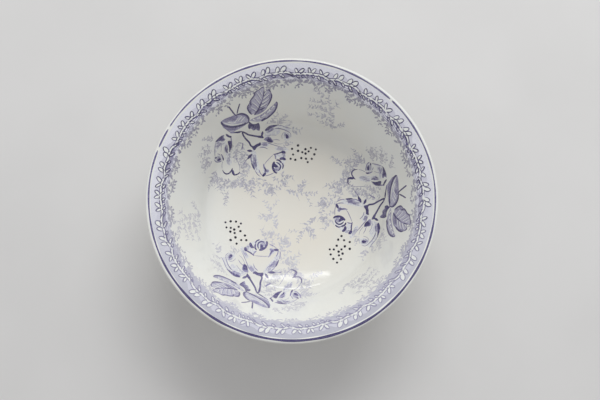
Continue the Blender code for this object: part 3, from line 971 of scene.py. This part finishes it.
# The pale sprigs: where each starts on the chart, its heading and length, how much it bends in all, and the
# size of its leaves. They ring the roses, cross the floor, and climb the wall between the sprays.
SPRIGS = [
    (-8, 21, -22, 30, 34, 4.2), (4, 17, 50, 14, 25, 4.2), (12, 14, -50, 9, -20, 4.2),
    (-27, 16, 32, 20, -20, 4.2), (-10, 24, 70, 12, -40, 4.2), (-41, 28, 205, 28, -30, 4.4),
    (-52, 25, 160, 22, 30, 4.4), (-58, 20, 245, 14, 30, 4.2), (-36, 34, 262, 19, 14, 4.2),
    (-28, 31, 300, 17, 24, 4.2), (-45, 40, 250, 17, -24, 4.0), (-20, 33, 330, 16, 20, 4.2),
    (-79, 56, 190, 19, 24, 4.4), (-76, 46, 205, 16, -20, 4.4), (-80, 67, 165, 15, 10, 4.2),
    (-84, 52, 265, 16, 0, 4.2), (-14, 81, 40, 14, 30, 4.2), (-20, 82, 75, 14, -20, 4.2),
    (-2, 74, 25, 11, -30, 4.0), (39, 75, 86, 46, 8, 4.6), (39, 91, 165, 23, 12, 4.4),
    (40, 97, 148, 22, 20, 4.4), (40, 107, 172, 20, -12, 4.2), (38, 116, 158, 15, -20, 4.2),
    (38, 79, 8, 15, 20, 4.0), (38, 82, 150, 13, 20, 4.0), (40, 100, 28, 11, 10, 4.0),
    (-47, 47, 300, 14, -30, 3.6), (-66, 32, 215, 15, 25, 4.2), (-8, 58, 60, 10, 20, 3.4),
    (-47, 58, 285, 10, 10, 3.2), (-52, 60, 262, 14, 8, 3.2), (-50, 66, 265, 16, 10, 3.4),
    (-46, 62, 275, 14, -12, 3.4), (-43, 56, 268, 14, 14, 3.4), (-56, 64, 262, 12, -10, 3.2),
    (-40, 46, 262, 12, -10, 3.4), (-44, 36, 255, 12, 20, 3.6), (-33, 33, 280, 12, 10, 3.6),
    (-82, 62, 200, 12, -20, 3.6), (-80, 44, 230, 12, 10, 3.6), (-70, 38, 240, 12, 10, 3.6),
    (-26, 82, 20, 16, -20, 3.4), (-8, 63, 10, 8, 0, 3.0), (-47, 52, 262, 12, 20, 3.2),
    (-62, 27, 250, 10, 20, 3.6), (-84, 60, 235, 12, 20, 3.6), (-82, 50, 215, 12, -20, 3.6),
    (-38, 30, 240, 12, 20, 3.8), (-22, 28, 300, 12, -20, 3.8), (-12, 36, 330, 12, 20, 3.6),
    (-50, 32, 245, 12, -20, 3.8), (-6, 76, 60, 10, 20, 3.4), (-14, 84, 60, 10, -20, 3.4),
]


def ghost_print():
    """The pale foliage round the spray and over the floor."""
    ghost = Print(21)
    any_of = ghost.random
    for x, y, heading, length, bend, leaf in SPRIGS:
        steps = max(3, int(length / 2.0))
        line = []
        for step in range(steps + 1):
            turn = math.radians(heading + bend * step / steps + any_of.uniform(-12, 12))
            line.append((x, y))
            x += length / steps * math.cos(turn)
            y += length / steps * math.sin(turn)
        ghost.stroke(line, 0.40)
        for step in range(1, steps + 1):
            share = step / steps
            side = 1 if step % 2 else -1
            size = leaf * (1.1 - 0.4 * share) * any_of.uniform(0.5, 1.25)
            turn = heading + bend * share + side * any_of.uniform(20, 75)
            ghost.leaf(line[step], turn, size, size * any_of.uniform(0.30, 0.55), side * 0.5)
            if any_of.random() < 0.65:
                turn_back = turn - side * any_of.uniform(60, 110)
                ghost.leaf(line[step], turn_back, size * 0.8, size * 0.34, -side * 0.4)
            if any_of.random() < 0.3:
                far = turn + side * any_of.uniform(-20, 20)
                tip = turned_points([(size * 0.9, 0)], turn) + line[step]
                ghost.stroke([line[step], tip[0], tip[0] + turned_points([(size, 0)], far)[0]], 0.32)
    return ghost


# ---------------------------------------------------------------- the border and the rim line

STEM_RADIUS = 107.6
STEM = along(STEM_RADIUS)
BAND_OUTER = along(116.2)
LINE_PLACE = along(117.6)

# One stretch of the border, which comes eleven times round the flange. In mm: clockwise, then outwards.
STRETCHES = 11
STRETCH_LENGTH = 2 * math.pi * STEM_RADIUS / STRETCHES
STEM_WAVE = ((0, -0.2), (4, 0), (9, 0.5), (16, 0.7), (21, 0.7), (24, -0.2), (27, -0.9), (30, -0.2))
STEM_WAVE += ((35, 1.1), (39.5, 0.6), (43, 0.5), (47, 1.2), (52, 1.0), (56, -0.3), (59, -0.6))
# Where each leaf starts, the way it points, and its length.
OUTER_LEAVES = ((0, 118, 5.0), (0.4, 46, 6.0), (10.7, 108, 4.8), (11.1, 50, 5.8), (21.4, 120, 5.0))
OUTER_LEAVES += ((21.8, 42, 6.2), (30.8, 56, 6.8), (35.4, 50, 6.2), (43.3, 46, 6.8), (47.4, 42, 7.4))
INNER_LEAVES = ((3.6, -74, 3.0), (6.5, -62, 3.8), (12.3, -60, 3.2), (16.5, -50, 5.0), (26.5, -48, 3.4))
INNER_LEAVES += ((30.3, -48, 5.0), (38, -48, 4.2), (44.8, -46, 5.2), (53.8, -42, 4.6), (58.8, -52, 3.6))


def round_face(degrees, far):
    """A chart point at an angle round the bowl and a distance along the face, in mm."""
    turn = math.radians(degrees)
    return np.array([far * math.cos(turn), far * math.sin(turn)])


def on_band(points, start):
    """Chart points for places on the border: mm clockwise from an angle, and mm outwards from the stem."""
    return [round_face(start - math.degrees(x / (STEM_RADIUS + 0.9 * y)), STEM + y) for x, y in points]


def stem_height(place):
    """How far outwards the wavy stem lies at a place along one stretch."""
    places = [x for x, height in STEM_WAVE] + [STRETCH_LENGTH]
    heights = [height for x, height in STEM_WAVE] + [STEM_WAVE[0][1]]
    return float(np.interp(place, places, heights))


def band_leaf(reserve, ink, start, place, degrees, length):
    """A white leaf with an engraved line round it, thin on its left side and thick on its right."""
    any_of = ink.random
    degrees += any_of.uniform(-5, 5)
    length *= any_of.uniform(0.98, 1.14)
    width = length * any_of.uniform(0.20, 0.26) + 0.75
    base = np.array([place, stem_height(place % STRETCH_LENGTH)])
    blade = [(0, width * 0.15), (0, width * 0.15), (length * 0.25, width * 0.38)]
    blade += [(length * 0.56, width * 0.5), (length * 0.82, width * 0.32), (length, 0), (length, 0)]
    blade += [(length * 0.84, -width * 0.30), (length * 0.58, -width * 0.5), (length * 0.25, -width * 0.40)]
    reserve.fill(on_band(turned_points(blade, degrees) + base, start), step=0.5)
    half = width / 2 + 0.22
    left = [(length * 0.16, half * 0.7), (length * 0.34, half * 0.9), (length * 0.58, half * 1.02)]
    left += [(length * 0.88, half * 0.72), (length + 0.35, 0)]
    right = [(length + 0.35, 0), (length * 0.88, -half * 0.72), (length * 0.60, -half * 1.04)]
    right += [(length * 0.34, -half * 0.92), (length * 0.16, -half * 0.75)]
    thin, thick = 0.85 * any_of.uniform(0.7, 1.2), 1.05 * any_of.uniform(0.8, 1.2)
    for line, pen, swell in ((left, thin, (0.3, 0.2)), (right, thick, (0.2, 0.3))):
        ink.stroke(on_band(turned_points(line, degrees) + base, start), pen, swell, 0.5)


def border_prints():
    """The wavy white stem with its leaves, the engraved lines round them, and the sprigs that hang below."""
    reserve, ink, lobes = Print(31), Print(32), Print(34)
    stem = []
    for stretch in range(STRETCHES):
        start = 21.5 - stretch * 360 / STRETCHES
        stem += [on_band([point], start)[0] for point in STEM_WAVE]
        for place, degrees, length in OUTER_LEAVES + INNER_LEAVES:
            band_leaf(reserve, ink, start, place, degrees, length)
    stem.append(stem[0])
    line = smooth(stem, 0.8)
    reserve.ribbon(line, np.full(len(line), 1.5))
    lift_chance = 0.12
    for shift, width in ((1.05, 0.75), (-1.1, 1.15)):
        run = []
        for spot in line:
            far = np.hypot(*spot)
            run.append(spot * (far + shift) / far)
            if ink.random.random() < lift_chance:
                if len(run) > 3:
                    ink.stroke(run, width * ink.random.uniform(0.7, 1.2))
                run = []
                # Nothing uses this draw, but the draws after it depend on it.
                ink.random.random()
    hang_lobes(lobes)
    return reserve, ink, lobes


def ring_print(inner, outer, rows):
    """A ring between two lines, each given as a distance along the face for an angle in degrees."""
    ring = Print()
    columns = 900
    for row in range(rows + 1):
        for column in range(columns):
            degrees = 360 * column / columns
            near, far = inner(degrees), outer(degrees)
            ring.points.append(round_face(degrees, near + (far - near) * row / rows))
    for row in range(rows):
        for column in range(columns):
            after = (column + 1) % columns
            a, b = row * columns, (row + 1) * columns
            ring.faces.append((a + column, b + column, b + after, a + after))
    return ring


def ripple(degrees, waves, phase=0.0):
    return math.sin(math.radians(degrees * waves + phase))


def border_shade():
    """The dark band below the stem."""

    def inner(degrees):
        return STEM - 4.5 - 1.0 * ripple(degrees, 11, 70 * ripple(degrees, 2)) - 0.8 * ripple(degrees, 47)

    return ring_print(inner, lambda degrees: STEM + 0.6, 4)


def border_ground():
    """The tint between the leaves above the stem, with a waved outer edge near their tips."""

    def outer(degrees):
        return STEM + 4.3 + 1.1 * ripple(degrees, 55, 59) + 0.3 * ripple(degrees, 83)

    return ring_print(lambda degrees: STEM - 0.5, outer, 6)


def border_wash():
    """The stippled ring that the border is printed on."""

    def inner(degrees):
        return STEM - 5.8 + 1.0 * ripple(degrees, 19) + 0.8 * ripple(degrees, 31)

    return ring_print(inner, lambda degrees: BAND_OUTER - 0.5 + 0.25 * ripple(degrees, 23), 18)


def hang_lobes(lobes):
    """The small sprigs that hang from the band, and single leaflets in threes among them."""
    any_of = lobes.random
    place = 0.0
    while place < STRETCHES * STRETCH_LENGTH - 4:
        hanging_sprig(lobes, place, any_of)
        place += any_of.uniform(7.5, 13.0)
    place = 2.0
    while place < STRETCHES * STRETCH_LENGTH - 2:
        for turn in (-130, -90, -50):
            size = any_of.uniform(2.6, 4.2)
            lobes.leaf((place, -any_of.uniform(3.4, 5.8)), turn + any_of.uniform(-15, 15), size, size * 0.7)
        place += any_of.uniform(3.5, 7.5)
    lobes.points = [round_face(-math.degrees(x / STEM_RADIUS), STEM + y) for x, y in lobes.points]


def hanging_sprig(lobes, place, any_of):
    """A stalk that bends along the band, with pairs of blunt leaves."""
    reach = 3.0
    way = any_of.choice((-1, 1))
    steps = any_of.choice((3, 4, 4, 5))
    x, y = place, -3.6
    line = [(x, y)]
    for step in range(steps):
        heading = -90 + way * (6 + 20 * step) + any_of.uniform(-12, 12)
        x += reach * math.cos(math.radians(heading))
        y += reach * math.sin(math.radians(heading))
        line.append((x, y))
        for side in (-1, 1):
            if any_of.random() < 0.85:
                size = any_of.uniform(2.8, 4.2) * (1.1 - 0.08 * step)
                turn = heading + side * any_of.uniform(38, 75)
                lobes.leaf((x, y), turn, size, size * any_of.uniform(0.38, 0.55))
    lobes.stroke(line, 0.5)


def rim_line():
    """The line on the lip, as if drawn by hand: it wavers and breaks three times. It widens at the near rim
    as painted reflection, for the dark reflection on the lip's outer roll.
    """
    line = Print(41)
    breaks = ((44.0, 0.35), (150.3, 0.7), (160.0, 0.6))
    first = 150.3
    run = []
    steps = 1440
    for step in range(steps + 1):
        degrees = first + step * 360 / steps
        turn = math.radians(degrees)
        broken = any(abs((degrees - middle + 180) % 360 - 180) < half for middle, half in breaks)
        waver = 0.12 * math.sin(turn * 5 + 0.5) + 0.08 * math.sin(turn * 11)
        # The line wanders inwards in two places.
        inset = 0.7 * max(0.0, math.cos(turn - 0.79)) ** 2 + 0.8 * max(0.0, math.cos(turn - 3.75)) ** 3
        if not broken:
            run.append(round_face(degrees, LINE_PLACE - inset + waver))
        if (broken or step == steps) and len(run) > 4:
            places = np.array(run)
            # Painted reflection: the line widens towards the near rim, standing in for the dark reflection
            # on the lip's outer roll.
            near = np.clip(-places[:, 1] / LINE_PLACE, 0, 1)
            count = np.arange(len(run))
            widths = 1.25 + 0.9 * near + 0.22 * np.sin(count * 0.105) + 0.12 * np.sin(count * 0.029)
            widths[:3] *= 0.6
            widths[-3:] *= 0.6
            line.ribbon(run, widths, 8)
            run = []
    return line


# ---------------------------------------------------------------- the prints as pieces

# How far each ink stands off the glaze face of the looks, in metres.
FOLIAGE_LIFT = 0.000010
WASH_LIFT = 0.000018
GROUND_LIFT = WASH_LIFT + 0.000004
LEAF_LIFT = 0.000026
SHADE_LIFT = LEAF_LIFT + 0.000004
LIGHT_LIFT = 0.000034
TONE_LIFT = 0.000042
INK_LIFT = 0.000050


def make_sprays():
    spray = spray_prints()
    berries = berry_print()
    foliage = ghost_print()
    washed = ink_material("rose_wash", WASH, CREAM_COOL, CREAM, 0.4)
    veins = ink_material("leaf_veins", CREAM_COOL, CREAM, WASH, 0.6)
    black = ink_material("berry_ink", BERRY, BERRY, INDIGO_DEEP, 0.4)
    full = (
        ink_material("leaf_wash", LEAF_VIOLET, LAVENDER, WASH, 0.5),
        ink_material("spray_tone", TONE, VIOLET, LAVENDER, 0.6),
        ink_material("spray_ink", INDIGO_DEEP, INDIGO, TONE, 0.6),
        # Painted glare: the pale foliage turns paler towards the near rim.
        ink_material("foliage_ink", SLATE, SLATE_PALE, CREAM_COOL, 0.88, SLATE_PALE),
    )
    # The third spray, on the near side, is paler than the others: painted glare, as at the border's near
    # rim.
    thin = (
        ink_material("leaf_wash_painted_glare", LAVENDER, WASH, CREAM_COOL, 0.5),
        ink_material("spray_tone_painted_glare", VIOLET_CLEAR, LEAF_VIOLET, WASH, 0.6),
        ink_material("spray_ink_painted_glare", INDIGO, TONE, VIOLET, 0.6),
        ink_material("foliage_ink_painted_glare", SLATE_PALE, SLATE_PALE, CREAM_COOL, 0.8),
    )
    for number, (lay, inks) in enumerate(zip(LAYS, (full, full, thin)), 1):
        leaf, tone, line, pale = inks
        layers = (
            ("rose_wash", spray.wash, WASH_LIFT, washed),
            ("leaf_wash", spray.leaf, LEAF_LIFT, leaf),
            ("leaf_veins", spray.light, LIGHT_LIFT, veins),
            ("spray_tone", spray.tone, TONE_LIFT, tone),
            ("spray_ink", spray.ink, INK_LIFT, line),
            ("berry_dots", berries, INK_LIFT, black),
            ("pale_foliage", foliage, FOLIAGE_LIFT, pale),
        )
        for name, layer, lift, material in layers:
            slips = layer not in (berries, foliage)
            layer.made(f"{name}_{number}", lift, material, laid(lay, slips))


def make_border():
    reserve, ink, lobes = border_prints()
    # Painted light: towards the near rim the stippled wash turns darker, for the dark reflections there. The
    # tint, the dark band, the sprigs, the lines and the white leaves turn paler, for the glare there. The
    # wash's pale ground over the far half is partly painted sky reflection.
    wash = stipple_material("border_stipple", FLANGE_PALE, WASH, 1400, WASH_GREY)
    ground = stipple_material("border_tint", WASH, LAVENDER, 1300, WASH)
    shade = stipple_material("border_shade", SHADE, TONE, 1250, WASH)
    hanging = ink_material("border_lobes", SLATE_DEEP, SLATE, SLATE_PALE, 0.6, WASH)
    line = ink_material("border_line", LINE_BLACK, INDIGO, TONE, 0.4, LEAF_VIOLET)
    border_wash().made("border_wash", WASH_LIFT, wash)
    border_ground().made("border_ground", GROUND_LIFT, ground)
    lobes.made("border_lobes", LEAF_LIFT, hanging)
    border_shade().made("border_shade", SHADE_LIFT, shade)
    white = ink_material("reserved_glaze", CREAM_COOL, CREAM_COOL, WASH, 0.7, CREAM)
    reserve.made("border_leaves", LIGHT_LIFT, white)
    ink.made("border_ink", INK_LIFT, line)
    # Painted reflection: the lip line turns darker towards the near rim.
    rim_line().made("rim_line", INK_LIFT, ink_material("rim_ink", INDIGO, TONE, VIOLET, 0.6, INDIGO_DEEP))


make_sprays()
make_border()


# ---------------------------------------------------------------- studio


def make_floor():
    mesh = bpy.data.meshes.new("studio_floor")
    half = 3.0
    corners = [(-half, -half, 0), (half, -half, 0), (half, half, 0), (-half, half, 0)]
    mesh.from_pydata(corners, [], [(0, 1, 2, 3)])
    nodes = Nodes("pale_floor")
    tone = nodes.ramp(nodes.noise(6, 3.0), 0.3, 0.7)
    mesh.materials.append(nodes.finish(nodes.mix(tone, FLOOR_GREY, FLOOR_PALE), 0.6))
    linked("studio_floor", mesh)


def area_light(name, place, size, power, colour):
    """A lamp that faces the bowl."""
    target = Vector((0, 0, 0.03))
    light = bpy.data.lights.new(name, "AREA")
    light.shape = "RECTANGLE"
    light.size, light.size_y = size
    light.energy = power
    light.color = colour
    obj = linked(name, light)
    obj.location = place
    obj.rotation_euler = (target - Vector(place)).to_track_quat("-Z", "Y").to_euler()
    return obj


def toward(zenith, side, distance):
    """A place at an angle from the zenith towards +Y and another towards +X, seen from the floor."""
    zenith, side = math.radians(zenith), math.radians(side)
    return Vector((math.sin(side), math.sin(zenith), math.cos(zenith))) * distance


def make_lights():
    rows = (("window_low_row", 24.1, 0.020, 0.095), ("window_high_row", 28.6, 0.070, 0.300))
    for name, zenith, height, power in rows:
        area_light(name, toward(zenith, -1.2, 1.35), (0.26, height), power, (0.98, 0.99, 1.0))
    sky = area_light("sky_side", (0.40, 1.5, 1.45), (1.6, 1.0), 30.0, (0.96, 0.98, 1.0))
    sky.visible_glossy = False
    world = bpy.data.worlds.new("studio_air")
    world.use_nodes = True
    background = world.node_tree.nodes["Background"]
    background.inputs["Color"].default_value = (0.97, 0.97, 1.0, 1.0)
    background.inputs["Strength"].default_value = 0.57
    bpy.context.scene.world = world
    bpy.context.scene.view_settings.view_transform = "Standard"


def make_camera():
    rim_height = cad_box[1].z - LIP_THICKNESS / 2
    camera = bpy.data.cameras.new("camera")
    camera.lens = 45.13
    camera.shift_x = -0.0003
    camera.shift_y = 0.0009
    camera.sensor_width = 36.0
    camera.clip_start = 0.01
    obj = linked("camera", camera)
    place = Matrix.Translation((0.0078, -0.14155, rim_height + 0.6001))
    tilt = Matrix.Rotation(0.2243, 4, "X")
    pan = Matrix.Rotation(0.0035, 4, "Y")
    roll = Matrix.Rotation(-0.0083, 4, "Z")
    obj.matrix_world = place @ roll @ pan @ tilt
    bpy.context.scene.camera = obj


make_floor()
make_lights()
make_camera()
